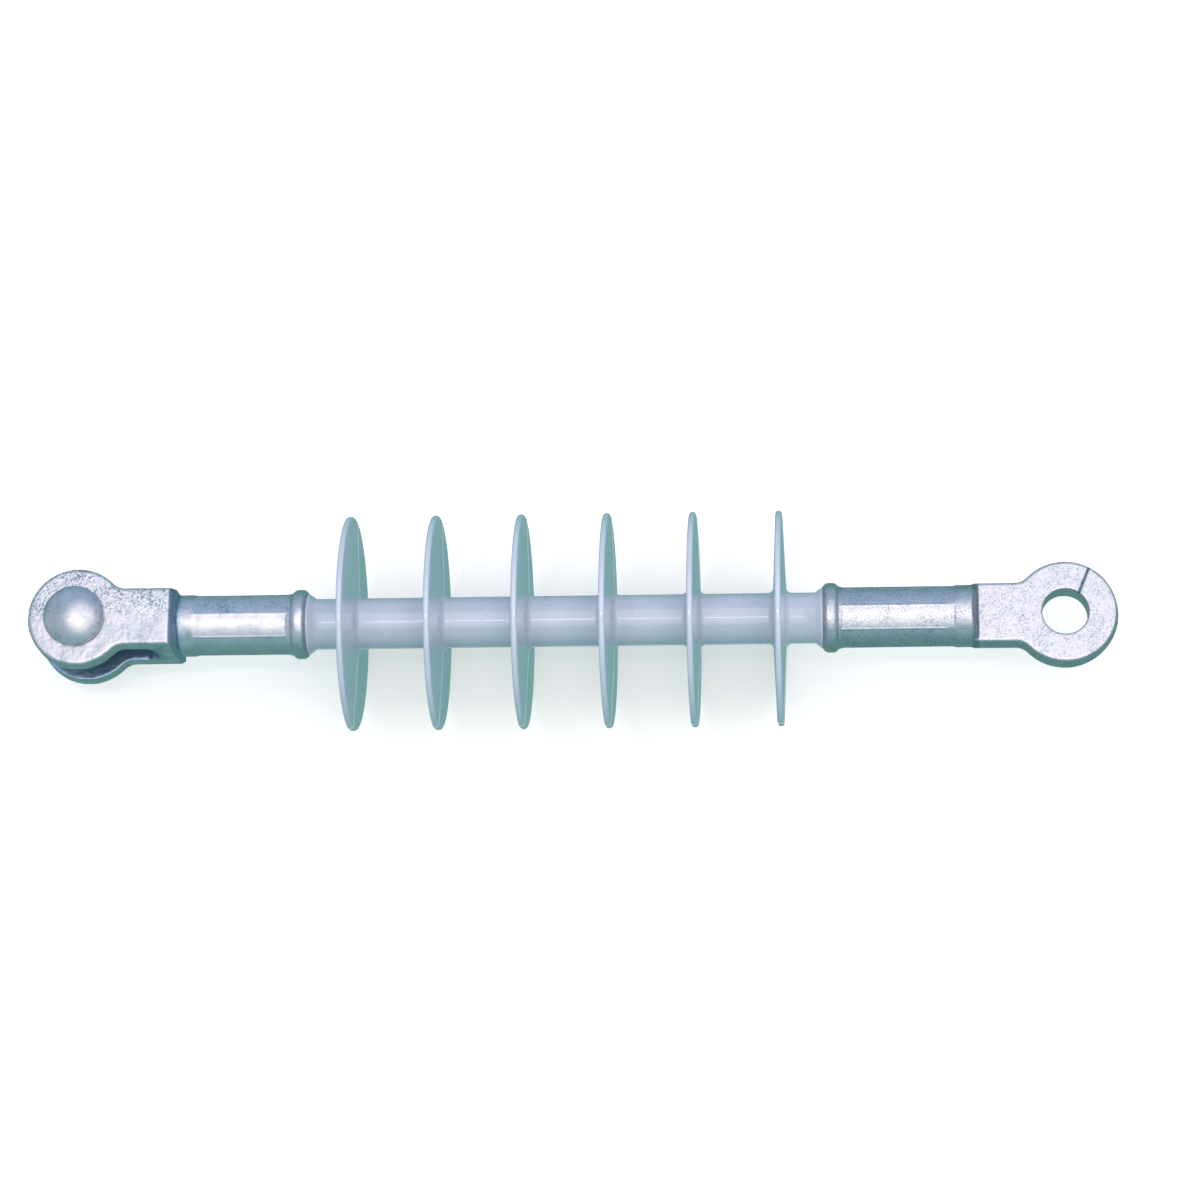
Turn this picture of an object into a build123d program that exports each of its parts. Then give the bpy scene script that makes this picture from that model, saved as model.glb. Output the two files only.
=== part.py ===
from build123d import *

"""Composite (polymer) long-rod insulator for a distribution line, clevis at one end, tongue at the other.

A glass-fibre rod carries the pull. A silicone housing with sheds is moulded on it, and a forged steel
fitting is crimped on each end. The clevis keeps its own pin, which a split pin holds in place.

Millimetres. The origin is the centre of the clevis pin, half way between the ears. +X runs along the
rod to the tongue, +Z is the axis of the pin, with its head on top, and +Y completes the frame.
"""

import os
from math import atan2, degrees

# ---------------------------------------------------------------- driving sizes
section_length = 440.0  # centre of the clevis pin to centre of the tongue's hole

rod_diameter = 16.0
rod_end_gap = 1.0  # between the rod's end and the bottom of its socket
bond_clearance = 0.02  # rod to socket, rod to housing, housing to fitting

sheath_diameter = 22.7  # rubber between the sheds
shed_diameter = 96.0
shed_count = 6
shed_pitch = 38.3
shed_rim_thickness = 2.6
shed_rim_round = 0.7
shed_root_thickness = 5.8
shed_root_fillet = 2.6
first_shed_from_mouth = 19.5  # shed centre plane to the mouth of the clevis fitting
flare_length = 3.4  # cone of rubber against each collar
flare_diameter = 27.6
seal_diameter = 22.9  # rubber that fills the mouth of each fitting
seal_depth = 5.0

collar_diameter = 30.8
collar_width = 7.0
collar_round = 2.6
barrel_diameter = 27.4
barrel_run_out = 10.0  # plain length between the crimped zone and the forged end
crimp_count = 8
crimp_depth = 0.4  # middle of a crimped face, below the barrel
crimp_ridge_drop = 0.06  # ridge between two crimped faces, below the barrel
crimp_phase = 14.5  # degrees from +Z to the middle of the first crimped face
crimp_gap = 1.2  # plain length between the collar and the crimped zone
socket_wall = 7.0  # steel left behind the bottom of the socket

pin_diameter = 16.0
pin_hole_clearance = 0.5  # on the radius, pin to ear
pin_play = 1.2  # free length between the lower ear and the split pin
pin_tail = 5.0  # pin below the split pin's hole
pin_tail_chamfer = 1.5
pin_head_gap = 0.2  # between the upper ear and the head
pin_head_diameter = 26.8
pin_head_skirt = 2.6
pin_head_dome = 5.4
pin_head_edge = 0.8

split_pin_diameter = 4.0
split_pin_clearance = 0.3  # on the radius, in the clevis pin
split_pin_slit = 0.2  # between the two legs
split_pin_eye_radius = 2.6  # inside of the eye
split_pin_eye_fillet = 3.0  # where the eye runs into the legs
split_pin_leg_reach = 2.5  # straight leg past the clevis pin's side, before the bend
split_pin_bend_radius = 5.0
split_pin_bend_angle = 50.0
split_pin_tip = 4.0  # straight leg after the bend

ear_radius = 22.0
ear_centre_shift = 1.0  # ear outline to pin, towards the rod
ear_thickness = 9.0
ear_edge_round = 1.5
jaw_gap = 19.5
jaw_depth = 35.0  # pin centre to the bottom of the jaw
jaw_corner_radius = 7.0
clevis_neck_width = 26.0
clevis_neck_fillet = 8.0
clevis_shoulder = 45.2  # pin centre to the end of the forged block
clevis_shoulder_slope = 3.0  # length of the slope from the block down to the barrel
clevis_mouth = 103.0  # pin centre to the mouth of the fitting

tongue_thickness = 13.0
tongue_ring_radius = 23.5  # at the parting plane
tongue_hole_radius = 10.3
tongue_hole_round = 0.5
tongue_edge_round = 1.2
tongue_draft = 8.0  # degrees, on the forged rim
tongue_neck_width = 28.2  # at the parting plane
tongue_neck_fillet = 7.0
tongue_shoulder = 38.4  # hole centre to the foot of the slope
tongue_shoulder_slope = 2.8
tongue_mouth = 107.0  # hole centre to the mouth of the fitting
seam_width = 0.9  # lap seam from the tongue's hole to its rim
seam_depth = 0.45
seam_angle = 69.0  # degrees from +X

over = 1.0  # how far a cutting shape runs past what it cuts
nil = 1e-6  # two places this close are one

# ---------------------------------------------------------------- sizes that follow from those
rod_radius = rod_diameter / 2
pin_radius = pin_diameter / 2
barrel_radius = barrel_diameter / 2
collar_radius = collar_diameter / 2
clevis_depth = jaw_gap + 2 * ear_thickness
ear_face = clevis_depth / 2
socket_radius = rod_radius + bond_clearance
tongue_mouth_x = section_length - tongue_mouth
clevis_socket_end = clevis_shoulder + socket_wall
tongue_socket_end = section_length - tongue_shoulder - tongue_shoulder_slope - socket_wall
split_pin_z = -(ear_face + pin_play + split_pin_diameter / 2)
pin_end_z = split_pin_z - split_pin_diameter / 2 - pin_tail


def turned(points):
    """A solid turned about the X axis from an outline of (x, radius) points."""
    return revolve(make_face(Polyline(*points, close=True)), Axis.X)


def along_x(profile, start, length):
    """A flat profile drawn as (y, z), extruded along +X from start."""
    return extrude(Plane.YZ.offset(start) * profile, amount=length)


# ---------------------------------------------------------------- glass-fibre rod
def make_rod():
    start = clevis_socket_end + rod_end_gap
    end = tongue_socket_end - rod_end_gap
    return along_x(Circle(rod_radius), start, end - start)


# ---------------------------------------------------------------- silicone housing
def shed_outline(centre):
    """Points of one shed, root to rim to root, on the sheath's line."""
    root = shed_root_thickness / 2
    rim = shed_rim_thickness / 2
    sheath, tip = sheath_diameter / 2, shed_diameter / 2
    return [(centre - root, sheath), (centre - rim, tip), (centre + rim, tip), (centre + root, sheath)]


def shed_centres():
    first = clevis_mouth + first_shed_from_mouth
    return [first + number * shed_pitch for number in range(shed_count)]


def make_housing():
    bore = rod_radius + bond_clearance
    sheath, flare = sheath_diameter / 2, flare_diameter / 2
    seal = seal_diameter / 2 - bond_clearance
    left, right = clevis_mouth, tongue_mouth_x
    outline = [
        (left - seal_depth + bond_clearance, bore),
        (left - seal_depth + bond_clearance, seal),
        (left, seal),
        (left, flare),
        (left + flare_length, sheath),
    ]
    for centre in shed_centres():
        outline += shed_outline(centre)
    outline += [
        (right - flare_length, sheath),
        (right, flare),
        (right, seal),
        (right + seal_depth - bond_clearance, seal),
        (right + seal_depth - bond_clearance, bore),
    ]
    face = make_face(Polyline(*outline, close=True))
    ends = (left + flare_length + nil, right - flare_length - nil)
    roots = [v for v in face.vertices() if abs(v.Y - sheath) < nil and ends[0] < v.X < ends[1]]
    face = fillet(roots, shed_root_fillet)
    rims = [v for v in face.vertices() if abs(v.Y - shed_diameter / 2) < nil]
    face = fillet(rims, shed_rim_round)
    return revolve(face, Axis.X)


# ---------------------------------------------------------------- crimped barrel of a fitting
def crimped_outline():
    """Eight slightly bulging faces with a soft ridge between each two, as crimping dies leave them."""
    ridge = barrel_radius - crimp_ridge_drop
    middle = barrel_radius - crimp_depth
    step = 360 / crimp_count
    faces = []
    for number in range(crimp_count):
        turn = 90 + crimp_phase + number * step
        ends = [Vector(ridge, 0).rotate(Axis.Z, turn + side * step / 2) for side in (-1, 1)]
        faces.append(ThreePointArc(ends[0], Vector(middle, 0).rotate(Axis.Z, turn), ends[1]))
    return make_face(faces)


def make_barrel(mouth, towards, forged_end, socket_end):
    """The steel tube from its collar at the mouth to the forged end. towards is +1 or -1 along X."""

    def at(distance):
        return mouth + towards * distance

    length = abs(forged_end - mouth)
    crimp_start = collar_width + crimp_gap
    crimp_length = length - barrel_run_out - crimp_start
    tube = turned([(mouth, 0), (mouth, barrel_radius), (forged_end, barrel_radius), (forged_end, 0)])
    zone_start = min(at(crimp_start), at(crimp_start + crimp_length))
    ring = along_x(Circle(barrel_radius + over), zone_start, crimp_length)
    tube -= ring - along_x(crimped_outline(), zone_start, crimp_length)
    back = at(collar_width)
    collar = turned([(mouth, 0), (mouth, collar_radius), (back, collar_radius), (back, 0)])
    rims = collar.edges().filter_by(GeomType.CIRCLE)
    collar = fillet(rims, collar_round)
    socket = turned([(mouth, 0), (mouth, socket_radius), (socket_end, socket_radius), (socket_end, 0)])
    seal_end = at(seal_depth)
    seat = turned([(mouth, 0), (mouth, seal_diameter / 2), (seal_end, seal_diameter / 2), (seal_end, 0)])
    return tube + collar, socket + seat


# ---------------------------------------------------------------- clevis fitting
def ear_outline():
    neck_length = clevis_shoulder - ear_centre_shift
    ring = Pos(ear_centre_shift, 0) * Circle(ear_radius)
    neck = Pos(ear_centre_shift + neck_length / 2, 0) * Rectangle(neck_length, clevis_neck_width)
    outline = ring + neck
    meets = [v for v in outline.vertices() if ear_centre_shift < v.X < clevis_shoulder - over]
    return fillet(meets, clevis_neck_fillet)


def make_clevis():
    block = extrude(ear_outline(), amount=ear_face, both=True)
    ends = block.faces().sort_by(Axis.X)[-1].edges().filter_by(Axis.Y)
    end_face = block.faces().sort_by(Axis.X)[-1]
    block = chamfer(ends, ear_face - barrel_radius, clevis_shoulder_slope, reference=end_face)
    block = fillet(block.faces().filter_by(Axis.Z).edges(), ear_edge_round)
    jaw_length = jaw_depth + ear_radius + over
    jaw = Pos(jaw_depth - jaw_length / 2, 0) * Rectangle(jaw_length, jaw_gap)
    jaw = fillet(jaw.vertices().group_by(Axis.X)[-1], jaw_corner_radius)
    block -= extrude(Plane.XZ * jaw, amount=ear_radius + over, both=True)
    forged_end = clevis_shoulder - clevis_shoulder_slope
    barrel, socket = make_barrel(clevis_mouth, -1, forged_end, clevis_socket_end)
    pin_holes = Cylinder(pin_radius + pin_hole_clearance, clevis_depth + 2 * over)
    return block + barrel - socket - pin_holes


# ---------------------------------------------------------------- tongue fitting
def tongue_outline():
    neck_length = tongue_shoulder + tongue_shoulder_slope
    ring = Circle(tongue_ring_radius)
    neck = Pos(-neck_length / 2, 0) * Rectangle(neck_length, tongue_neck_width)
    outline = ring + neck
    meets = [v for v in outline.vertices() if -neck_length + over < v.X < 0]
    return fillet(meets, tongue_neck_fillet)


def seam_cutter():
    """A thin slot that follows the upper face and the wall of the hole, in line with the hole's axis."""
    reach = tongue_ring_radius + over
    half = tongue_thickness / 2
    slab = Pos(reach / 2, 0) * Box(reach, seam_width, tongue_thickness + 2 * over)
    inside = tongue_hole_radius + seam_depth
    core = Pos(inside + reach / 2, 0, -seam_depth - over) * Box(reach, seam_width + over, 2 * (half + over))
    return Rot(0, 0, seam_angle) * (slab - core)


def make_tongue():
    half = tongue_thickness / 2
    plate = extrude(tongue_outline(), amount=half, taper=tongue_draft)
    plate += extrude(tongue_outline(), amount=-half, taper=tongue_draft)
    plate = fillet(plate.faces().filter_by(Axis.Z).edges(), tongue_edge_round)
    plate -= Cylinder(tongue_hole_radius, tongue_thickness + 2 * over)
    rims = plate.edges().filter_by(GeomType.CIRCLE)
    rims = [e for e in rims if abs(e.radius - tongue_hole_radius) < nil]
    plate = fillet(rims, tongue_hole_round)
    plate = Pos(section_length, 0) * (plate - seam_cutter())

    foot = section_length - tongue_shoulder
    top = foot - tongue_shoulder_slope
    barrel, socket = make_barrel(tongue_mouth_x, 1, foot, tongue_socket_end)
    slope = make_face(Polyline((top, barrel_radius), (foot, half), (foot, barrel_radius), close=True))
    wedge = extrude(Plane.XZ * slope, amount=collar_radius, both=True)
    return barrel - wedge - mirror(wedge, Plane.XY) + plate - socket


# ---------------------------------------------------------------- clevis pin
def make_clevis_pin():
    radius = pin_head_diameter / 2
    under = ear_face + pin_head_gap
    rim = under + pin_head_skirt
    sphere = (radius**2 + pin_head_dome**2) / (2 * pin_head_dome)
    ball = Pos(0, 0, rim + pin_head_dome - sphere) * Sphere(sphere)
    outline = [
        (0, rim + pin_head_dome),
        (0, pin_end_z),
        (pin_radius - pin_tail_chamfer, pin_end_z),
        (pin_radius, pin_end_z + pin_tail_chamfer),
        (pin_radius, under),
        (radius - pin_head_edge, under),
        (radius, under + pin_head_edge),
        (radius, rim + pin_head_dome),
    ]
    shank = revolve(Plane.XZ * make_face(Polyline(*outline, close=True)), Axis.Z)
    below = Pos(0, 0, rim - clevis_depth) * Cylinder(radius + over, 2 * clevis_depth)
    pin = shank & (ball + below)
    hole_radius = split_pin_diameter / 2 + split_pin_clearance
    hole = Cylinder(hole_radius, pin_diameter + 2 * over, rotation=(90, 0, 0))
    return pin - Pos(0, 0, split_pin_z) * hole


# ---------------------------------------------------------------- split pin
def make_split_pin():
    """Half-round wire folded into an eye and two legs, whose tips are bent apart behind the clevis pin.

    One half is drawn in the XY plane with its leg along +X, mirrored, then laid in the cross hole.
    """
    inner = split_pin_slit / 2
    wire = split_pin_diameter / 2 - inner
    eye, neck = split_pin_eye_radius, split_pin_eye_fillet
    neck_x = -(pin_radius + split_pin_clearance)
    reach = (eye**2 + 2 * eye * neck) ** 0.5  # eye centre to the end of its fillet
    share = eye / (eye + neck)
    centre = neck_x - reach
    touch = (centre + reach * share, inner + neck * share)
    loop = CenterArc((centre, inner), eye, 180, degrees(atan2(neck, reach)) - 180)
    blend = TangentArc(touch, (neck_x, inner), tangent=(neck, -reach))
    bend_start = (pin_radius + split_pin_leg_reach, inner)
    leg = Line((neck_x, inner), bend_start)
    bend = JernArc(bend_start, (1, 0), split_pin_bend_radius, split_pin_bend_angle)
    tip = Line(bend @ 1, (bend @ 1) + (bend % 1) * split_pin_tip)
    path = Wire([*loop.edges(), *blend.edges(), *leg.edges(), *bend.edges(), *tip.edges()])
    disc = Circle(wire) & Pos(wire / 2, 0) * Rectangle(wire, 2 * wire)
    section = Plane(origin=loop @ 0, x_dir=(-1, 0, 0), z_dir=(0, 1, 0)) * disc
    half = sweep(section, path=path)
    return Pos(0, 0, split_pin_z) * Rot(0, 0, 90) * (half + mirror(half, Plane.XZ))


PARTS = {
    "fibreglass_rod": make_rod,
    "rubber_housing": make_housing,
    "clevis_fitting": make_clevis,
    "tongue_fitting": make_tongue,
    "clevis_pin": make_clevis_pin,
    "split_pin": make_split_pin,
}


def main():
    os.makedirs("parts", exist_ok=True)
    for name, make in PARTS.items():
        export_step(make(), f"parts/{name}.step")


main()
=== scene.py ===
# %% [markdown]
# # A composite insulator, dressed for close views
#
# A composite insulator holds up a power line. It has a glass-fibre rod for strength, a silicone
# rubber housing with sheds that keep rain and dirt from making a path, and a forged steel fitting
# at each end. The rigid frame already has every piece at its real size. This lesson gives it the
# skins, edges and finishes that the real pieces have, without changing a dimension.

# %% Load the frame
import math

import bmesh
import bpy
from mathutils import Matrix, Quaternion, Vector


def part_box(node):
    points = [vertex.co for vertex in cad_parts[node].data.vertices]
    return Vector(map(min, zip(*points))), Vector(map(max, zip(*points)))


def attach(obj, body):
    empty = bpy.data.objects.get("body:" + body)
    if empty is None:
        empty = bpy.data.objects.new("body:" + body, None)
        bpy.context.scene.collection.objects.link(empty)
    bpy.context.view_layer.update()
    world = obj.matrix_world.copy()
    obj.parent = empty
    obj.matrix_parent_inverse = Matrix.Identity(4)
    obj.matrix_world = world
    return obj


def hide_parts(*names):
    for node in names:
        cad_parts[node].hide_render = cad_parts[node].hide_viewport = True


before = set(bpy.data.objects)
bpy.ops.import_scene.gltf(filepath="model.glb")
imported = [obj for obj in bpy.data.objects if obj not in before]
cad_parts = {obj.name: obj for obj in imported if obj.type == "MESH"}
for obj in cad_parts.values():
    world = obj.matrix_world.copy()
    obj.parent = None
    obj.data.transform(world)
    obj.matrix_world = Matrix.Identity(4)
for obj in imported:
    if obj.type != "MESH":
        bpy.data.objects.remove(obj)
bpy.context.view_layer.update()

MM = 0.001
print("nodes:", sorted(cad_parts))

# %% [markdown]
# ## The sizes that the skins follow
#
# Places come from the frame's own boxes, so a piece goes where the rigid model has it. A few forms,
# such as the thickness of a shed, can't be read from a box. They are written here once, in
# millimetres, with the names that a designer would use.

# %% Sizes of the housing
housing_low, housing_high = (Vector(corner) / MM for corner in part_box("rubber_housing"))
BORE_RADIUS = 8.02
SEAL_RADIUS, SEAL_LENGTH = 11.43, 4.98  # rubber inside the mouth of each fitting
FLARE_RADIUS, FLARE_LENGTH = 13.8, 3.4  # cone of rubber against each collar
SHEATH_RADIUS = 11.35
SHED_RADIUS = (housing_high.z - housing_low.z) / 2
SHED_COUNT, SHED_PITCH = 6, 38.3
FIRST_SHED = 19.5  # from the mouth of the clevis's fitting
SHED_RIM, SHED_ROOT = 2.6, 5.8  # thickness
SHED_RIM_ROUND, SHED_ROOT_FILLET = 1.1, 2.6

mouth_left = housing_low.x + SEAL_LENGTH
mouth_right = housing_high.x - SEAL_LENGTH
print(f"housing from {mouth_left:.2f} to {mouth_right:.2f} mm")
print(f"sheds {2 * SHED_RADIUS:.1f} mm across")

# %% Sizes of the fittings
BARREL_RADIUS = 13.6
JAW_HALF_GAP, JAW_DEPTH = 9.75, 35.0
# Painted shade darkens the zinc between these places along the axis, behind each shoulder.
CLEVIS_SHADE_CORNER = (43.4, 45.8)  # along the axis, behind the shoulder
TONGUE_SHADE_CORNER = (399.6, 401.4)
EYE_CENTRE, TONGUE_TOP = 440.0, 6.5


def on_eye(radius, degrees):
    """A point of the tongue's ring, from the centre of its hole."""
    angle = math.radians(degrees)
    return (EYE_CENTRE + radius * math.cos(angle), radius * math.sin(angle))


SEAM_START, SEAM_END = on_eye(9.0, 52.5), on_eye(25.0, 62.0)  # the mark over the tongue's ring
print("seam from", [round(c, 1) for c in SEAM_START], "to", [round(c, 1) for c in SEAM_END])

# %% [markdown]
# ## A small kit for building node trees
#
# Geometry Nodes and materials are both graphs. A few helpers keep their code short: they make a
# node with its options and inputs, do one sum, or start and end a geometry tree that has named
# inputs. An input of a node takes a number, or the output of another node.

# %% Node helpers
def add(tree, kind, feeds=None, **options):
    """A node of a kind, with options set on it and its inputs fed, by name or by place."""
    node = tree.nodes.new(kind)
    for key, value in options.items():
        setattr(node, key, value)
    for key, value in (feeds or {}).items():
        socket = node.inputs[key]
        if isinstance(value, bpy.types.NodeSocket):
            tree.links.new(value, socket)
        else:
            socket.default_value = value
    return node


def maths(tree, operation, first, second=0.0):
    """The result of one sum, product or other operation on two numbers."""
    return add(tree, "ShaderNodeMath", {0: first, 1: second}, operation=operation).outputs[0]


def blend_by(tree, amount, low, high, start=0.3, end=0.7):
    """A number that goes from low to high as amount goes from start to end."""
    feeds = {"Value": amount, "From Min": start, "From Max": end, "To Min": low, "To Max": high}
    return add(tree, "ShaderNodeMapRange", feeds).outputs[0]


def hump(tree, distance, reach, height):
    """A smooth hump: its height at no distance, and nothing from its reach on."""
    feeds = {"Value": distance, "From Max": reach, "To Min": height, "To Max": 0.0}
    node = add(tree, "ShaderNodeMapRange", feeds, interpolation_type="SMOOTHSTEP")
    return node.outputs[0]


def between(tree, number, low, high):
    """1 where a number lies between two others, and 0 elsewhere."""
    above = maths(tree, "GREATER_THAN", number, low)
    return maths(tree, "MULTIPLY", above, maths(tree, "LESS_THAN", number, high))


# %% Start and end a geometry tree
SOCKETS = {
    int: "NodeSocketInt",
    float: "NodeSocketFloat",
    bpy.types.Material: "NodeSocketMaterial",
}


def geometry_tree(name, inputs):
    """A geometry tree with named inputs, and the group's input and output nodes."""
    tree = bpy.data.node_groups.new(name, "GeometryNodeTree")
    for way in ("INPUT", "OUTPUT"):
        tree.interface.new_socket("Geometry", in_out=way, socket_type="NodeSocketGeometry")
    for label, kind in inputs.items():
        tree.interface.new_socket(label, in_out="INPUT", socket_type=SOCKETS[kind])
    return tree, add(tree, "NodeGroupInput"), add(tree, "NodeGroupOutput")


def lifted(tree, geometry, height):
    """The geometry with each point moved along its normal, and shaded smooth."""
    normal = add(tree, "GeometryNodeInputNormal").outputs[0]
    lift = add(tree, "ShaderNodeVectorMath", {0: normal, "Scale": height}, operation="SCALE")
    feeds = {"Geometry": geometry, "Offset": lift.outputs[0]}
    moved = add(tree, "GeometryNodeSetPosition", feeds).outputs[0]
    return add(tree, "GeometryNodeSetShadeSmooth", {"Geometry": moved}).outputs[0]


def finish_tree(tree, group_in, group_out, geometry):
    """Ends a tree as every tree here ends: real geometry, with its material set."""
    real = add(tree, "GeometryNodeRealizeInstances", {"Geometry": geometry})
    feeds = {"Geometry": real.outputs[0], "Material": group_in.outputs["Material"]}
    dressed = add(tree, "GeometryNodeSetMaterial", feeds)
    tree.links.new(dressed.outputs[0], group_out.inputs[0])
    print(f"tree {tree.name}: {len(tree.nodes)} nodes")


# %% Turn a modifier's result into a plain mesh
def socket_id(tree, label):
    """The identifier of a tree's named input, by which a modifier sets it."""
    for item in tree.interface.items_tree:
        if item.in_out == "INPUT" and item.name == label:
            return item.identifier
    raise KeyError(label)


def baked(piece):
    """Turns all of a piece's modifiers into its mesh, and removes them."""
    bpy.context.view_layer.update()
    evaluated = piece.evaluated_get(bpy.context.evaluated_depsgraph_get())
    mesh = bpy.data.meshes.new_from_object(evaluated)
    piece.modifiers.clear()
    piece.data = mesh
    return piece


def grown(piece, tree, values):
    """Runs a tree on a piece and leaves the result as the piece's plain mesh."""
    modifier = piece.modifiers.new(tree.name, "NODES")
    modifier.node_group = tree
    for label, value in values.items():
        modifier[socket_id(tree, label)] = value
    return baked(piece)


def new_piece(name, data):
    """An object at the origin, in the scene."""
    piece = bpy.data.objects.new(name, data)
    bpy.context.scene.collection.objects.link(piece)
    return piece


# %% [markdown]
# ## Finishes
#
# Two finishes matter here. Silicone rubber is moulded, so it is smooth and glossy, and its colour
# hardly changes. Hot-dip galvanised steel is metal under a thick skin of zinc that froze on it:
# bright, faintly blue, with a fine grain and cloudy patches that are more or less dull. All
# patterns use Object coordinates, which don't slide when a piece moves.

# %% Material helpers
def material(name):
    """A new material, its tree, its shader, and the place of each point on the piece."""
    made = bpy.data.materials.new(name)
    made.use_nodes = True
    tree = made.node_tree
    shader = next(node for node in tree.nodes if node.type == "BSDF_PRINCIPLED")
    place = add(tree, "ShaderNodeTexCoord").outputs["Object"]
    return made, tree, shader, place


def noise(tree, place, size_mm, detail=2.0, roughness=0.5):
    """A cloudy pattern whose spots are about size_mm across, as a number from 0 to 1."""
    feeds = {"Vector": place, "Scale": 1 / (size_mm * MM)}
    feeds |= {"Detail": detail, "Roughness": roughness}
    return add(tree, "ShaderNodeTexNoise", feeds).outputs[0]


def scaled(colour, factor):
    """A colour made darker or paler by a factor."""
    return [channel * factor for channel in colour]


def colours(tree, amount, stops):
    """A colour that follows amount through stops of (place, colour)."""
    ramp = add(tree, "ShaderNodeValToRGB", {0: amount})
    elements = ramp.color_ramp.elements
    while len(elements) < len(stops):
        elements.new(0.5)
    for element, (place, colour) in zip(elements, stops):
        element.position = place
        element.color = (*colour, 1.0)
    return ramp.outputs[0]


def mixed(tree, share, first, second, blend="MIX"):
    """Two colours mixed by a share from 0 to 1. A colour is a socket or a fixed value."""
    feeds = {0: share, 6: first, 7: second}
    return add(tree, "ShaderNodeMix", feeds, data_type="RGBA", blend_type=blend).outputs[2]


def bumps(tree, shader, layers):
    """Stacks fine relief: layers of (height pattern, height in millimetres)."""
    normal = None
    for height, depth in layers:
        feeds = {"Height": height, "Distance": depth * MM, "Strength": 1.0}
        if normal is not None:
            feeds["Normal"] = normal
        normal = add(tree, "ShaderNodeBump", feeds).outputs[0]
    tree.links.new(normal, shader.inputs["Normal"])


# %% Silicone rubber
BLOOM_SIZE, HANDLING_SIZE = 14.0, 6.0  # spots of the faint tint, and of the duller gloss
# The painted highlight along the mould line is full near the parting plane and gone further off.
LINE_HIGHLIGHT_FULL, LINE_HIGHLIGHT_GONE = 0.15, 0.5  # each side of the mould's parting plane


def silicone(name, body, line):
    """Moulded silicone. The line colour is a painted highlight over the mould's raised parting
    line.
    """
    made, tree, shader, place = material(name)
    cloud = noise(tree, place, BLOOM_SIZE)
    bloom = colours(tree, cloud, [(0.35, scaled(body, 0.97)), (0.65, scaled(body, 1.02))])
    height = add(tree, "ShaderNodeSeparateXYZ", {0: place}).outputs[2]
    off_plane = maths(tree, "ABSOLUTE", height)
    on_line_highlight = blend_by(tree, off_plane, 1.0, 0.0, LINE_HIGHLIGHT_FULL * MM, LINE_HIGHLIGHT_GONE * MM)
    # Painted highlight: the colour turns paler near the parting plane.
    tree.links.new(mixed(tree, on_line_highlight, bloom, (*line, 1.0)), shader.inputs["Base Color"])
    gloss = blend_by(tree, noise(tree, place, HANDLING_SIZE), 0.26, 0.36)
    tree.links.new(gloss, shader.inputs["Roughness"])
    shader.inputs["Specular IOR Level"].default_value = 0.6
    shader.inputs["Coat Weight"].default_value = 1.0
    shader.inputs["Coat Roughness"].default_value = 0.05
    return made


# The pale line colour is a painted highlight on the raised mould line.
RUBBER = silicone("silicone_light_grey", body=(0.60, 0.63, 0.70), line=(0.90, 0.93, 0.96))
print("made", RUBBER.name)

# %% [markdown]
# ## Painted shade in the jaw and corners, and the dark mark
#
# The jaw between the clevis's ears and the corner behind each shoulder get painted shade: a soft
# mask multiplies the zinc's colour there by a darker tint. The mark over the tongue's ring is
# darkened the same way. A mask is a sum on a point's own coordinates.

# %% Masks for the corners, the jaw and the seam
CORNER_FADE = 1.2


# Painted shade goes where this mask is 1, in the corner behind a shoulder.
def shaded_corner_mask(tree, at, low, high):
    """1 behind a fitting's shoulder, between two places along the axis, and 0 elsewhere."""
    after = blend_by(tree, at[0], 0.0, 1.0, (low - CORNER_FADE) * MM, low * MM)
    before = blend_by(tree, at[0], 1.0, 0.0, high * MM, (high + CORNER_FADE) * MM)
    return maths(tree, "MULTIPLY", after, before)


# Painted shade: where this mask is 1, the clevis's zinc is tinted darker and bluer, as in shade.
def jaw_shade_mask(tree, at):
    """1 between the clevis's ears and in the corner behind its shoulder, and 0 elsewhere."""
    height = maths(tree, "ABSOLUTE", at[2])
    inner, outer = (JAW_HALF_GAP + 0.1) * MM, (JAW_HALF_GAP + 0.7) * MM
    amid = blend_by(tree, height, 1.0, 0.0, inner, outer)
    before = blend_by(tree, at[0], 1.0, 0.0, (JAW_DEPTH + 1) * MM, (JAW_DEPTH + 4) * MM)
    jaw = maths(tree, "MULTIPLY", amid, before)
    return maths(tree, "MAXIMUM", jaw, shaded_corner_mask(tree, at, *CLEVIS_SHADE_CORNER))


def seam_and_corner_shade_mask(tree, at):
    """1 in the dark mark over the tongue's ring, 0.6 of painted shade in the corner behind its
    shoulder, and else 0.
    """
    run = (Vector(SEAM_END) - Vector(SEAM_START)).normalized()
    from_x, from_y = (maths(tree, "SUBTRACT", at[k], SEAM_START[k] * MM) for k in (0, 1))
    one, other = maths(tree, "MULTIPLY", from_x, run.y), maths(tree, "MULTIPLY", from_y, run.x)
    away = maths(tree, "ABSOLUTE", maths(tree, "SUBTRACT", one, other))
    near = blend_by(tree, away, 1.0, 0.0, 0.3 * MM, 0.62 * MM)
    on_side = maths(tree, "GREATER_THAN", at[1], 5 * MM)
    on_top = maths(tree, "GREATER_THAN", at[2], (TONGUE_TOP - 1.0) * MM)
    seam = maths(tree, "MULTIPLY", near, maths(tree, "MULTIPLY", on_side, on_top))
    # Painted shade, at 0.6 strength, in the corner behind the tongue's shoulder.
    corner = maths(tree, "MULTIPLY", shaded_corner_mask(tree, at, *TONGUE_SHADE_CORNER), 0.6)
    return maths(tree, "MAXIMUM", seam, corner)


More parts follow.
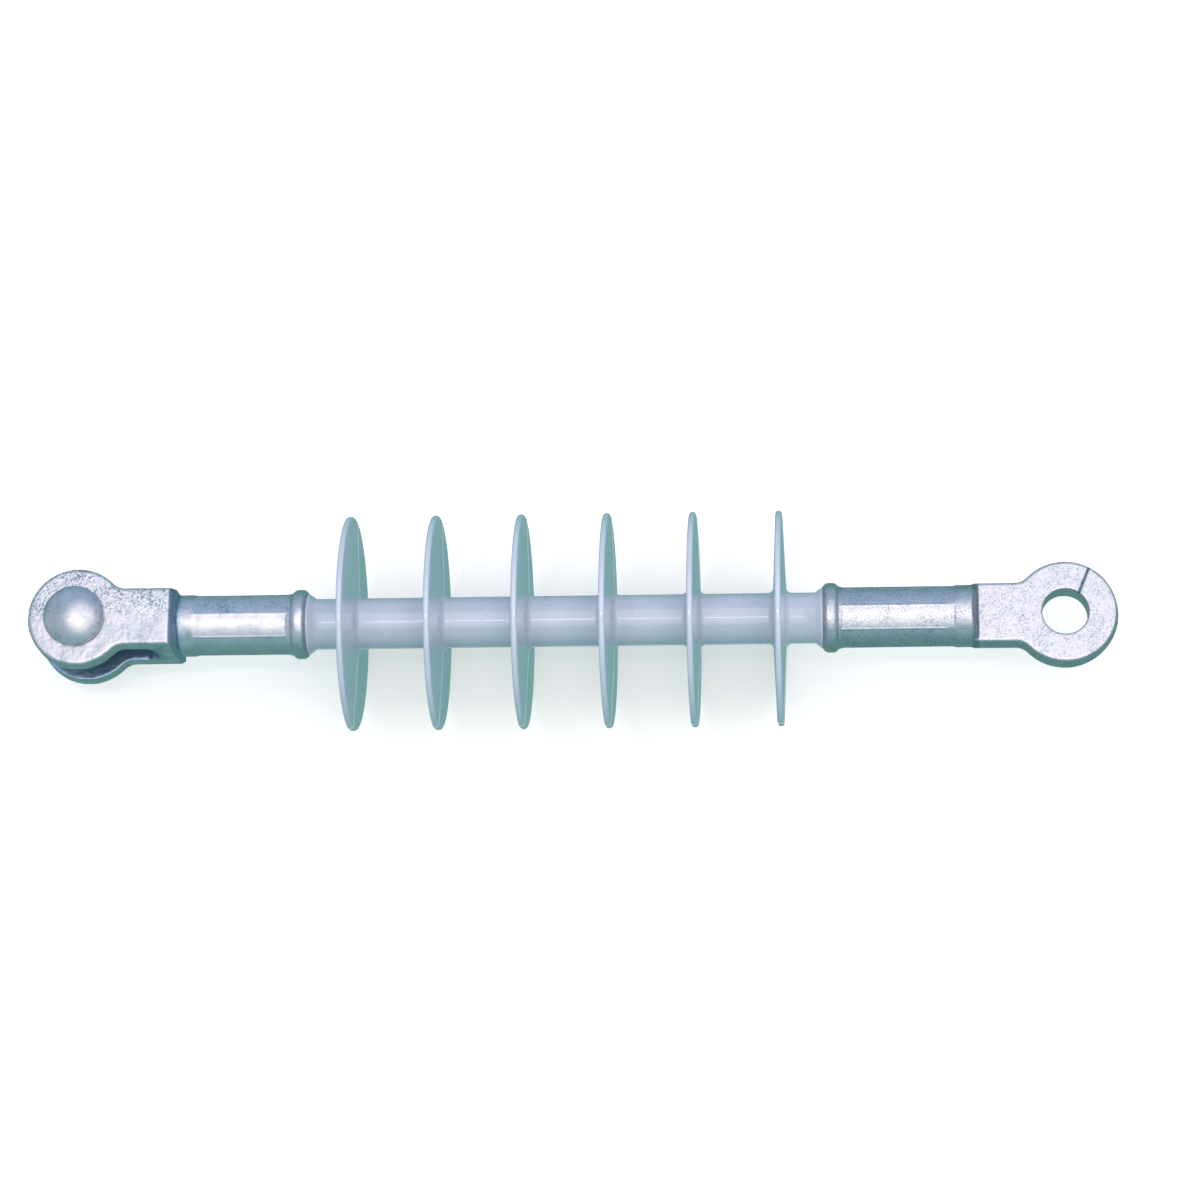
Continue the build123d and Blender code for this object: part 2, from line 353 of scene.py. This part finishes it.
# Painted shade: the clevis's jaw and corner and the tongue's corner are tinted darker; the tongue's
# mark is darkened too.
JAW_PAINTED_SHADE = (jaw_shade_mask, (0.52, 0.70, 0.84))
SEAM_MARK_AND_PAINTED_SHADE = (seam_and_corner_shade_mask, (0.25, 0.38, 0.46))
print("two films, for the clevis and for the tongue")

# %% [markdown]
# ## Galvanised steel
#
# Two noises drive everything: a grain as fine as the zinc's, and clouds some millimetres across.
# Their mix picks the colour, from pits to pale zinc, and also the roughness, so that a dull spot is
# a darker spot. The same grain gives the bump. One function makes all four steels.

# %% Galvanised steel
PIT_ZINC, MID_ZINC, PALE_ZINC = (0.22, 0.29, 0.35), (0.56, 0.585, 0.61), (0.68, 0.665, 0.67)
ZINC_STOPS = [(0.34, PIT_ZINC), (0.46, MID_ZINC), (0.56, PALE_ZINC)]
CLOUD_SIZE = 7.0


def sandy_contrast(tree, at):
    """Strong speckles on the side that lay against the sand, +Y, and fewer on the barrel."""
    side = blend_by(tree, at[1], 0.35, 2.2, -3 * MM, 5 * MM)
    on_head = blend_by(tree, at[0], 1.0, 0.5, 42 * MM, 50 * MM)
    return maths(tree, "MULTIPLY", side, on_head)


def galvanised(
    name, grain_mm, depth, dull=0.46, bright=0.30,
    tone=1.0, contrast=1.0, cloudy=0.38, sandy=False, painted_darkening=None,
):
    """Zinc over steel. Dull and bright are roughnesses; cloudy is the share of the clouds."""
    made, tree, shader, place = material(name)
    at = add(tree, "ShaderNodeSeparateXYZ", {0: place}).outputs
    if sandy:
        contrast = sandy_contrast(tree, at)
    grain = maths(tree, "SUBTRACT", noise(tree, place, grain_mm, 3.0, 0.6), 0.5)
    grain = maths(tree, "ADD", maths(tree, "MULTIPLY", grain, contrast), 0.5)
    cloud = maths(tree, "MULTIPLY", noise(tree, place, CLOUD_SIZE, 3.0), cloudy)
    feeds = {0: grain, 1: 1 - cloudy, 2: cloud}
    both = add(tree, "ShaderNodeMath", feeds, operation="MULTIPLY_ADD").outputs[0]
    zinc = colours(tree, both, [(share, scaled(colour, tone)) for share, colour in ZINC_STOPS])
    # Painted shade: where the mask is 1, the zinc's colour is multiplied by a darker tint.
    if painted_darkening:
        where, tint = painted_darkening
        zinc = mixed(tree, where(tree, at), zinc, (*tint, 1.0), "MULTIPLY")
    tree.links.new(zinc, shader.inputs["Base Color"])
    tree.links.new(blend_by(tree, both, dull, bright), shader.inputs["Roughness"])
    shader.inputs["Metallic"].default_value = 1.0
    fine = noise(tree, place, grain_mm * 0.4)
    bumps(tree, shader, [(grain, depth), (fine, depth * 0.4)])
    return made


# %% The four steels
FORGED_ZINC = galvanised(
    "zinc_on_forging", 0.7, 0.06, tone=0.87, contrast=0.9, cloudy=0.2, painted_darkening=SEAM_MARK_AND_PAINTED_SHADE
)
SANDY_ZINC = galvanised("zinc_on_sandy_forging", 0.8, 0.07, tone=0.93, sandy=True, painted_darkening=JAW_PAINTED_SHADE)
PIN_ZINC = galvanised("zinc_on_pin", 1.6, 0.05, dull=0.42, tone=0.90, contrast=0.5)
WIRE = galvanised("drawn_wire", 0.5, 0.02, dull=0.3, bright=0.2)
print("made", FORGED_ZINC.name, SANDY_ZINC.name, PIN_ZINC.name, WIRE.name)


# %% Bonded glass fibre
FIBRE_WIDTH = 0.6


def glass_fibre(name):
    """The rod's pultruded fibres run along X, so its pattern is stretched that way."""
    made, tree, shader, place = material(name)
    feeds = {"Vector": place, "Scale": (0.02, 1.0, 1.0)}
    stretched = add(tree, "ShaderNodeMapping", feeds).outputs[0]
    fibres = noise(tree, stretched, FIBRE_WIDTH)
    stops = [(0.35, (0.42, 0.42, 0.30)), (0.65, (0.62, 0.61, 0.47))]
    tree.links.new(colours(tree, fibres, stops), shader.inputs["Base Color"])
    shader.inputs["Roughness"].default_value = 0.35
    bumps(tree, shader, [(fibres, 0.02)])
    return made


FIBRE = glass_fibre("pultruded_rod")
print("made", FIBRE.name)

# %% [markdown]
# ## The rubber housing
#
# The housing is round about one axis, and its six sheds are equal, because one mould makes them.
# So its shape is a rule: take the outline of one shed, repeat it at a pitch, and turn it about the
# axis. A Geometry Nodes tree does this. It makes a flat grid with one row for each point of the
# outline and one column for each step around, and then moves each point of the grid to its place.
# The steps crowd together at the mould's parting plane, where a fine raised line runs over every
# shed. Spin from the edit tools would also turn an outline, but it can't crowd its steps.

# %% A flat grid, and what each of its points stands for
def unrolled(tree, given):
    """The grid, and for each of its points the copy, the point of the outline and the step."""
    points = add(tree, "GeometryNodeAttributeDomainSize", {0: given["Geometry"]}).outputs[0]
    rows = maths(tree, "MULTIPLY", points, given["Copies"])
    columns = maths(tree, "ADD", given["Steps"], 1.0)
    feeds = {"Vertices X": rows, "Vertices Y": columns}
    grid = add(tree, "GeometryNodeMeshGrid", feeds).outputs[0]
    index = add(tree, "GeometryNodeInputIndex").outputs[0]
    nudged = maths(tree, "ADD", index, 0.5)  # keeps the division clear of rounding
    row = maths(tree, "FLOOR", maths(tree, "DIVIDE", nudged, columns))
    column = maths(tree, "SUBTRACT", index, maths(tree, "MULTIPLY", row, columns))
    copy = maths(tree, "FLOOR", maths(tree, "DIVIDE", maths(tree, "ADD", row, 0.5), points))
    within = maths(tree, "SUBTRACT", row, maths(tree, "MULTIPLY", copy, points))
    return grid, copy, within, column


def outline_place(tree, given, which):
    """The x, y and z of one point of the outline."""
    feeds = {"Geometry": given["Geometry"], "Index": which}
    sample = add(tree, "GeometryNodeSampleIndex", feeds, data_type="FLOAT_VECTOR")
    value = next(socket for socket in sample.inputs if socket.name == "Value" and socket.enabled)
    tree.links.new(add(tree, "GeometryNodeInputPosition").outputs[0], value)
    return add(tree, "ShaderNodeSeparateXYZ", {0: sample.outputs[0]}).outputs


# %% Turn the grid about the axis, and raise the mould line
def turned_place(tree, given, outline, copy, column):
    """Where a grid point goes: along by its copy, and around by its step."""
    turn = maths(tree, "MULTIPLY", maths(tree, "DIVIDE", column, given["Steps"]), 2 * math.pi)
    ripple = maths(tree, "SINE", maths(tree, "MULTIPLY", turn, 2.0))
    crowd = maths(tree, "MULTIPLY", ripple, maths(tree, "MULTIPLY", given["Crowding"], 0.5))
    angle = maths(tree, "ADD", turn, crowd)
    along = maths(tree, "ADD", outline[0], maths(tree, "MULTIPLY", copy, given["Pitch"]))
    across = maths(tree, "MULTIPLY", outline[2], maths(tree, "SINE", angle))
    up = maths(tree, "MULTIPLY", outline[2], maths(tree, "COSINE", angle))
    return add(tree, "ShaderNodeCombineXYZ", {0: along, 1: across, 2: up}).outputs[0]


def mould_line(tree, given):
    """How far a point stands out: a hump over the parting plane, between the two mouths."""
    place = add(tree, "GeometryNodeInputPosition").outputs[0]
    spot = add(tree, "ShaderNodeSeparateXYZ", {0: place}).outputs
    off_plane = maths(tree, "ABSOLUTE", spot[2])
    line = hump(tree, off_plane, given["Line Width"], given["Line Height"])
    outside = between(tree, spot[0], given["Line Start"], given["Line End"])
    return maths(tree, "MULTIPLY", line, outside)


# %% The tree that turns an outline
DOUBLES_WITHIN = 0.001


def lathe_tree():
    """Repeats an outline at a pitch, turns it about X and closes it, with a raised line."""
    inputs = {"Copies": int, "Pitch": float, "Steps": int, "Crowding": float}
    inputs |= {"Line Height": float, "Line Width": float, "Line Start": float, "Line End": float}
    inputs |= {"Material": bpy.types.Material}
    tree, group_in, group_out = geometry_tree("turned_and_repeated", inputs)
    given = group_in.outputs
    grid, copy, within, column = unrolled(tree, given)
    outline = outline_place(tree, given, within)
    target = turned_place(tree, given, outline, copy, column)
    feeds = {"Geometry": grid, "Position": target}
    rolled = add(tree, "GeometryNodeSetPosition", feeds).outputs[0]
    feeds = {"Geometry": rolled, "Distance": DOUBLES_WITHIN * MM}
    closed = add(tree, "GeometryNodeMergeByDistance", feeds).outputs[0]
    finish_tree(tree, group_in, group_out, lifted(tree, closed, mould_line(tree, given)))
    return tree


LATHE = lathe_tree()


# %% The outline of one shed
def arc(centre, radius, start, end, steps):
    """Points of an arc in the outline's plane, angles in degrees from +X towards the rim."""
    turns = [math.radians(start + (end - start) * k / steps) for k in range(steps + 1)]
    return [(centre[0] + radius * math.cos(t), centre[1] + radius * math.sin(t)) for t in turns]


def half_shed():
    """From the rim's middle down one face and its root fillet, to just past it on the sheath."""
    slope = math.degrees(math.atan((SHED_ROOT - SHED_RIM) / 2 / (SHED_RADIUS - SHEATH_RADIUS)))
    lean = math.radians(slope)

    def face_x(radius):  # the face's distance from the shed's middle plane
        return SHED_RIM / 2 + (SHED_RADIUS - radius) * math.tan(lean)

    low = SHED_RADIUS - SHED_RIM_ROUND
    in_rim = (face_x(low) - SHED_RIM_ROUND / math.cos(lean), low)
    high = SHEATH_RADIUS + SHED_ROOT_FILLET
    in_root = (face_x(high) + SHED_ROOT_FILLET / math.cos(lean), high)
    rim = arc(in_rim, SHED_RIM_ROUND, 90, slope, 5)
    root = arc(in_root, SHED_ROOT_FILLET, 180 + slope, 270, 7)
    shares = [step / 7 for step in range(1, 7)]
    face = [[a + (b - a) * share for a, b in zip(rim[-1], root[0])] for share in shares]
    past = (root[-1][0] + SHED_ROOT_FILLET / 2, SHEATH_RADIUS)
    return [(0, SHED_RADIUS)] + rim + face + root + [past]


right_half = half_shed()
SHED = [(-x, r) for x, r in reversed(right_half)] + right_half[1:]
print(f"one shed's outline has {len(SHED)} points")


# %% The outlines of the two ends
def flare(mouth, inwards, steps=4):
    """The cone at a mouth, from the collar to the sheath. Inwards is 1 or -1 along X."""
    fall = FLARE_RADIUS - SHEATH_RADIUS
    shares = [k / steps for k in range(steps + 1)]
    return [(mouth + inwards * FLARE_LENGTH * s, FLARE_RADIUS - fall * s) for s in shares]


first = mouth_left + FIRST_SHED
last = first + SHED_PITCH * (SHED_COUNT - 1)
left_end = [(housing_high.x, BORE_RADIUS), (housing_low.x, BORE_RADIUS)]
left_end += [(housing_low.x, SEAL_RADIUS), (mouth_left, SEAL_RADIUS)]
left_end += flare(mouth_left, 1) + [(first + SHED[0][0], SHEATH_RADIUS)]
right_end = [(last + SHED[-1][0], SHEATH_RADIUS)] + flare(mouth_right, -1)[::-1]
right_end += [(mouth_right, SEAL_RADIUS), (housing_high.x, SEAL_RADIUS)]
right_end += [(housing_high.x, BORE_RADIUS)]
print(f"first shed at {first:.1f} mm, last at {last:.1f} mm")


# %% Turn the ends and the sheds
def outline_mesh(name, points, shift=0.0):
    """A line of points in the XZ plane, given in millimetres as (x, radius)."""
    mesh = bpy.data.meshes.new(name)
    spots = [((x + shift) * MM, 0.0, r * MM) for x, r in points]
    mesh.from_pydata(spots, [(k, k + 1) for k in range(len(spots) - 1)], [])
    return mesh


AROUND, CROWDING = 208, 0.88
LINE_HEIGHT, LINE_WIDTH = 0.20, 0.42
LINE_CLEAR = 0.1  # the line stops short of each fitting's mouth
LINE = {"Line Height": LINE_HEIGHT * MM, "Line Width": LINE_WIDTH * MM}
LINE["Line Start"] = (mouth_left + LINE_CLEAR) * MM
LINE["Line End"] = (mouth_right - LINE_CLEAR) * MM


def turned(name, points, copies=1, shift=0.0):
    """A part of the housing, turned from its outline."""
    piece = new_piece(name, outline_mesh(name, points, shift))
    values = {"Copies": copies, "Pitch": SHED_PITCH * MM, "Steps": AROUND, "Crowding": CROWDING}
    return grown(piece, LATHE, values | LINE | {"Material": RUBBER})


parts = [turned("sheds", SHED, SHED_COUNT, first)]
parts += [turned("left", left_end), turned("right", right_end)]
print("faces:", {part.name: len(part.data.polygons) for part in parts})


# %% Join them into one moulding
WELD_WITHIN = 0.008


def welded(name, pieces):
    """One closed mesh from several, with doubles merged and its faces turned outwards."""
    shape = bmesh.new()
    for piece in pieces:
        shape.from_mesh(piece.data)
        bpy.data.objects.remove(piece)
    bmesh.ops.remove_doubles(shape, verts=shape.verts, dist=WELD_WITHIN * MM)
    bmesh.ops.recalc_face_normals(shape, faces=shape.faces)
    for face in shape.faces:
        face.smooth = True
    open_edges = sum(not edge.is_manifold for edge in shape.edges)
    mesh = bpy.data.meshes.new(name)
    volume = shape.calc_volume() / MM**3
    shape.to_mesh(mesh)
    shape.free()
    print(f"{name}: {len(mesh.polygons)} faces, {open_edges} open edges, {volume:.0f} mm3")
    return new_piece(name, mesh)


def wear(piece, finish):
    """Puts one finish on a whole piece."""
    piece.data.materials.clear()
    piece.data.materials.append(finish)


housing = welded("housing_moulding", parts)
wear(housing, RUBBER)
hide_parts("rubber_housing")
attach(housing, "insulator")

# %% [markdown]
# ## The zinc skin of the forgings
#
# A forging has no sharp edge, and zinc rounds it further. The rigid model's mesh has long thin
# triangles that can't be shaped, so a merged copy is remeshed into small even squares. A Geometry
# Nodes tree then lifts each point along its normal: a low ripple from the forging die, the grain of
# the zinc, and the fine ridges that crimping leaves. Bump alone would look right from far off, but
# it leaves edges and outlines perfect, and these aren't.

# %% The layers of the skin
RIDGES, RIDGE_PHASE = 8, 37.0  # crimping dies leave a ridge between each two faces
RIDGE_HALF_WIDTH, RIDGE_HEIGHT = 0.55, 0.16
ROUGH_FADE = 12  # how far a fitting's rough head takes to fade into its smoother barrel


def relief(tree, place, size, height, detail):
    """Noise of one size, which rises and sinks by up to half its height."""
    feeds = {"Vector": place, "Scale": maths(tree, "DIVIDE", 1.0, size), "Detail": detail}
    field = add(tree, "ShaderNodeTexNoise", feeds).outputs[0]
    return maths(tree, "MULTIPLY", maths(tree, "SUBTRACT", field, 0.5), height)


def roughness_of(tree, given, along):
    """A factor on the grain, which is more than 1 on a rough head and 1 after it."""
    start = given["Rough Up To"]
    end = maths(tree, "ADD", start, ROUGH_FADE * MM)
    return blend_by(tree, along, given["Rough Factor"], 1.0, start, end)


def crimp_ridge(tree, given, at):
    """Ridges along a barrel, at equal turns, between its crimp's start and end."""
    step = math.radians(360 / RIDGES)
    turn = maths(tree, "ARCTAN2", at[1], at[2])
    turn = maths(tree, "ADD", turn, math.radians(RIDGE_PHASE))
    turn = maths(tree, "DIVIDE", turn, step)
    off = maths(tree, "ABSOLUTE", maths(tree, "SUBTRACT", turn, maths(tree, "ROUND", turn)))
    off = maths(tree, "MULTIPLY", off, step * BARREL_RADIUS * MM)
    ridge = hump(tree, off, RIDGE_HALF_WIDTH * MM, given["Ridge Height"])
    crimped = between(tree, at[0], given["Ridge Start"], given["Ridge End"])
    return maths(tree, "MULTIPLY", ridge, crimped)


# %% The tree that grows a skin
def skin_tree():
    """Lifts each point of a forging by grain, ripple, the zinc's thickness and crimp ridges."""
    labels = ["Grain Size", "Grain Height", "Ripple Size", "Ripple Height", "Rough Up To"]
    labels += ["Rough Factor", "Thickness", "Ridge Height", "Ridge Start", "Ridge End"]
    inputs = dict.fromkeys(labels, float) | {"Material": bpy.types.Material}
    tree, group_in, group_out = geometry_tree("zinc_skin", inputs)
    given = group_in.outputs
    place = add(tree, "GeometryNodeInputPosition").outputs[0]
    at = add(tree, "ShaderNodeSeparateXYZ", {0: place}).outputs
    grain = relief(tree, place, given["Grain Size"], given["Grain Height"], 2.0)
    grain = maths(tree, "MULTIPLY", grain, roughness_of(tree, given, at[0]))
    ripple = relief(tree, place, given["Ripple Size"], given["Ripple Height"], 1.0)
    total = maths(tree, "ADD", grain, ripple)
    total = maths(tree, "ADD", total, given["Thickness"])
    total = maths(tree, "ADD", total, crimp_ridge(tree, given, at))
    finish_tree(tree, group_in, group_out, lifted(tree, given["Geometry"], total))
    return tree


SKIN = skin_tree()


# %% Remesh a rigid node
def merged_copy(name, node):
    """A copy of a rigid node's mesh with its loose triangles joined up."""
    shape = bmesh.new()
    shape.from_mesh(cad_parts[node].data)
    bmesh.ops.remove_doubles(shape, verts=shape.verts, dist=DOUBLES_WITHIN * MM)
    mesh = bpy.data.meshes.new(name)
    shape.to_mesh(mesh)
    shape.free()
    return new_piece(name, mesh)


def remeshed(name, node, square, cuts):
    """A copy of a node, cut and filled, in small even squares with its edges relaxed."""
    piece = merged_copy(name, node)
    for tool, operation in cuts:
        cut = piece.modifiers.new(operation.lower(), "BOOLEAN")
        cut.object, cut.operation, cut.solver = tool, operation, "EXACT"
    remesh = piece.modifiers.new("even_squares", "REMESH")
    remesh.mode, remesh.voxel_size, remesh.use_smooth_shade = "VOXEL", square * MM, True
    relax = piece.modifiers.new("relax", "SMOOTH")
    relax.factor, relax.iterations = 0.5, 2
    baked(piece)
    for tool, operation in cuts:
        bpy.data.objects.remove(tool)
    return piece


# %% Dress a rigid node
ZINC = 0.12  # thickness of the zinc, which also makes up for what the relaxing takes off


def skinned(
    name, node, body, finish, square, grain, ripple,
    rough=(-1, 1), crimped=(0, 0), cuts=(),
):
    """A node under a skin, in millimetres.

    Grain and ripple are (size, height), rough is (up to, factor) and crimped is (start, end).
    """
    piece = remeshed(name, node, square, cuts)
    values = {"Grain Size": grain[0] * MM, "Grain Height": grain[1] * MM}
    values |= {"Ripple Size": ripple[0] * MM, "Ripple Height": ripple[1] * MM}
    values |= {"Rough Up To": rough[0] * MM, "Rough Factor": rough[1], "Thickness": ZINC * MM}
    values |= {"Ridge Start": crimped[0] * MM, "Ridge End": crimped[1] * MM}
    values |= {"Ridge Height": RIDGE_HEIGHT * MM, "Material": finish}
    grown(piece, SKIN, values)
    wear(piece, finish)
    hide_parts(node)
    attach(piece, body)
    print(f"{name}: {len(piece.data.polygons)} faces")


# %% [markdown]
# ## The mark over the tongue's ring
#
# A thin mark runs from the tongue's hole to its rim, and not quite straight out. The rigid model
# has a plain groove for it, a few degrees away. Two thin slabs fill that groove before the remesh,
# and a third cuts the mark in its own place. Booleans suit this, because the remesh that follows
# them takes away the ragged triangles that they leave.

# %% A thin upright slab
def slab(name, start, end, width, low, high):
    """A thin upright block between two points of the XY plane, in millimetres."""
    start, end = Vector(start), Vector(end)
    side = (end - start).normalized().orthogonal() * width / 2
    foot = [start + side, start - side, end - side, end + side]
    spots = [(c.x * MM, c.y * MM, z * MM) for z in (low, high) for c in foot]
    walls = [(k, k + 4, (k + 1) % 4 + 4, (k + 1) % 4) for k in range(4)]
    mesh = bpy.data.meshes.new(name)
    mesh.from_pydata(spots, [], [(0, 1, 2, 3), (7, 6, 5, 4)] + walls)
    shape = bmesh.new()
    shape.from_mesh(mesh)
    bmesh.ops.recalc_face_normals(shape, faces=shape.faces)
    shape.to_mesh(mesh)
    shape.free()
    return new_piece(name, mesh)


# %% Two fillings and a cut
GROOVE_ANGLE, GROOVE_WIDTH = 69.0, 1.1  # of the rigid groove, and a little over its width
GROOVE_START, GROOVE_END = on_eye(10.32, GROOVE_ANGLE), on_eye(22.2, GROOVE_ANGLE)
WALL_END = on_eye(11.2, GROOVE_ANGLE)  # the groove also nicks the wall of the hole
SEAM_WIDTH, SEAM_DEPTH = 0.95, 0.75

filler = slab("filler", GROOVE_START, GROOVE_END, GROOVE_WIDTH, 5.4, TONGUE_TOP - 0.02)
wall_filler = slab("wall_filler", GROOVE_START, WALL_END, GROOVE_WIDTH, -6.4, 6.0)
seam = slab("seam", SEAM_START, SEAM_END, SEAM_WIDTH, TONGUE_TOP - SEAM_DEPTH, TONGUE_TOP + 1)
seam_cuts = [(filler, "UNION"), (wall_filler, "UNION"), (seam, "DIFFERENCE")]
print("cuts for the tongue:", [tool.name for tool, operation in seam_cuts])

# %% [markdown]
# ## Skins for the two fittings and the pin
#
# The clevis's head is rougher than its barrel, and the pin is the smoothest of the three. Each
# barrel's ridges run only where its dies pressed.

# %% Dress the fittings and the pin
skinned(
    "clevis_forging", "clevis_fitting", "insulator", SANDY_ZINC,
    square=0.5, grain=(1.5, 0.12), ripple=(9, 0.22), rough=(34, 3.0), crimped=(52, 94),
)
skinned(
    "tongue_forging", "tongue_fitting", "insulator", FORGED_ZINC,
    square=0.45, grain=(1.3, 0.12), ripple=(8, 0.2), crimped=(341.5, 388), cuts=seam_cuts,
)
skinned(
    "pin_forging", "clevis_pin", "pin", PIN_ZINC,
    square=0.35, grain=(3.0, 0.12), ripple=(8, 0.22),
)

# %% [markdown]
# ## Pieces that keep their rigid shape
#
# The split pin is drawn wire and the rod is ground to size, so their rigid shapes are right as they
# are. They only get their finishes, in the material slots of the frame's own objects.

# %% Wire and rod
for node, finish in {"split_pin": WIRE, "fibreglass_rod": FIBRE}.items():
    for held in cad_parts[node].material_slots:
        held.material = finish
    print(node, "wears", finish.name)

# %% [markdown]
# ## Floor, light and camera
#
# A big round softbox hangs over the object, off to the tongue's side. Round bars of bright metal
# mirror it as one long band, and flat faces mirror it whole. A narrow strip beside it draws a thin
# bright line along the glossy rubber. The sky fills the rest with cool light, bluer on one side and
# greener on the other, which gives the sides of the bars their colour. The floor is mirrored by
# nothing, so low parts of the metal mirror the darker ground of the sky instead.

# %% Floor
FLOOR_REACH = 6.0  # metres to each side
FLOOR_GAP = 0.2  # millimetres below the sheds
FLOOR_GLOW, GLOW_COLOUR = 0.34, (1.0, 0.88, 0.75, 1.0)


def floor_material(name, colour):
    """Matt and pale, with a faint warm glow that lifts its shadows."""
    made, _, shader, _ = material(name)
    shader.inputs["Base Color"].default_value = (*colour, 1.0)
    shader.inputs["Roughness"].default_value = 0.9
    shader.inputs["Specular IOR Level"].default_value = 0.1
    shader.inputs["Emission Color"].default_value = GLOW_COLOUR
    shader.inputs["Emission Strength"].default_value = FLOOR_GLOW
    return made


floor_mesh = bpy.data.meshes.new("floor")
floor_height = -SHED_RADIUS * MM - FLOOR_GAP * MM
signs = [(-1, -1), (1, -1), (1, 1), (-1, 1)]
corners = [(x * FLOOR_REACH, y * FLOOR_REACH, floor_height) for x, y in signs]
floor_mesh.from_pydata(corners, [], [(0, 1, 2, 3)])
floor = new_piece("floor", floor_mesh)
floor.data.materials.append(floor_material("floor_pale", (0.96, 0.95, 0.90)))
floor.visible_glossy = floor.visible_diffuse = False
print(f"floor at {floor_height / MM:.1f} mm")


# %% Lamps
def hung(name, place, power, colour, shape, size, size_y=0.0):
    """An area lamp that hangs at a place and shines straight down."""
    data = bpy.data.lights.new(name, "AREA")
    data.shape, data.size = shape, size
    if size_y:
        data.size_y = size_y
    data.energy, data.color = power, colour
    lamp = new_piece(name, data)
    lamp.location = place
    lamp.rotation_euler = Vector((0, 0, -1)).to_track_quat("-Z", "Y").to_euler()
    lamp.visible_camera = False
    return lamp


LAMP_HEIGHT = 2.2
KEY_PLACE, KEY_COLOUR = (0.9, 0.0, LAMP_HEIGHT), (1.0, 0.87, 0.86)
STRIP_PLACE, STRIP_COLOUR = (0.1, -0.27, LAMP_HEIGHT - 0.01), (1.0, 0.86, 0.90)
lamps = [hung("key_softbox", KEY_PLACE, 36, KEY_COLOUR, "DISK", 3.5)]
lamps += [hung("strip_light", STRIP_PLACE, 4.0, STRIP_COLOUR, "RECTANGLE", 1.6, 0.09)]
print("lamps:", {lamp.name: lamp.data.energy for lamp in lamps})

# %% Sky
SKY_STOPS = [(0.0, (0.36, 0.62, 0.72)), (0.5, (0.57, 0.64, 0.77)), (1.0, (0.44, 0.64, 0.94))]
GROUND = (0.18, 0.40, 0.38)

world = bpy.data.worlds.new("studio")
world.use_nodes = True
sky = world.node_tree
direction = add(sky, "ShaderNodeTexCoord").outputs["Generated"]
aim = add(sky, "ShaderNodeSeparateXYZ", {0: direction}).outputs
sides = colours(sky, blend_by(sky, aim[1], 0.0, 1.0, -1.0, 1.0), SKY_STOPS)
over_ground = blend_by(sky, aim[2], 0.0, 1.0, -0.2, 0.1)
backdrop = next(node for node in sky.nodes if node.type == "BACKGROUND")
sky.links.new(mixed(sky, over_ground, (*GROUND, 1.0), sides), backdrop.inputs["Color"])
backdrop.inputs["Strength"].default_value = 1.0
bpy.context.scene.world = world
bpy.context.scene.view_settings.view_transform = "Standard"
print("sky has", len(sky.nodes), "nodes")

# %% Camera
EYE = Vector((350.0, -445.0, 1677.5)) * MM
TARGET = Vector((233.74, 9.21, 1.4)) * MM
LENS_MM, SENSOR_MM, ROLL_DEGREES = 116.9, 36.0, -0.28

camera = new_piece("camera", bpy.data.cameras.new("camera"))
camera.data.lens, camera.data.sensor_width = LENS_MM, SENSOR_MM
ahead = (TARGET - EYE).normalized()
right = ahead.cross(Vector((0, 1, 0))).normalized()
right = Quaternion(ahead, math.radians(ROLL_DEGREES)) @ right
above = right.cross(ahead)
facing = Matrix((right, above, -ahead)).transposed().to_4x4()
camera.matrix_world = Matrix.Translation(EYE) @ facing
bpy.context.scene.camera = camera
print("camera looks from", [round(c, 3) for c in EYE])
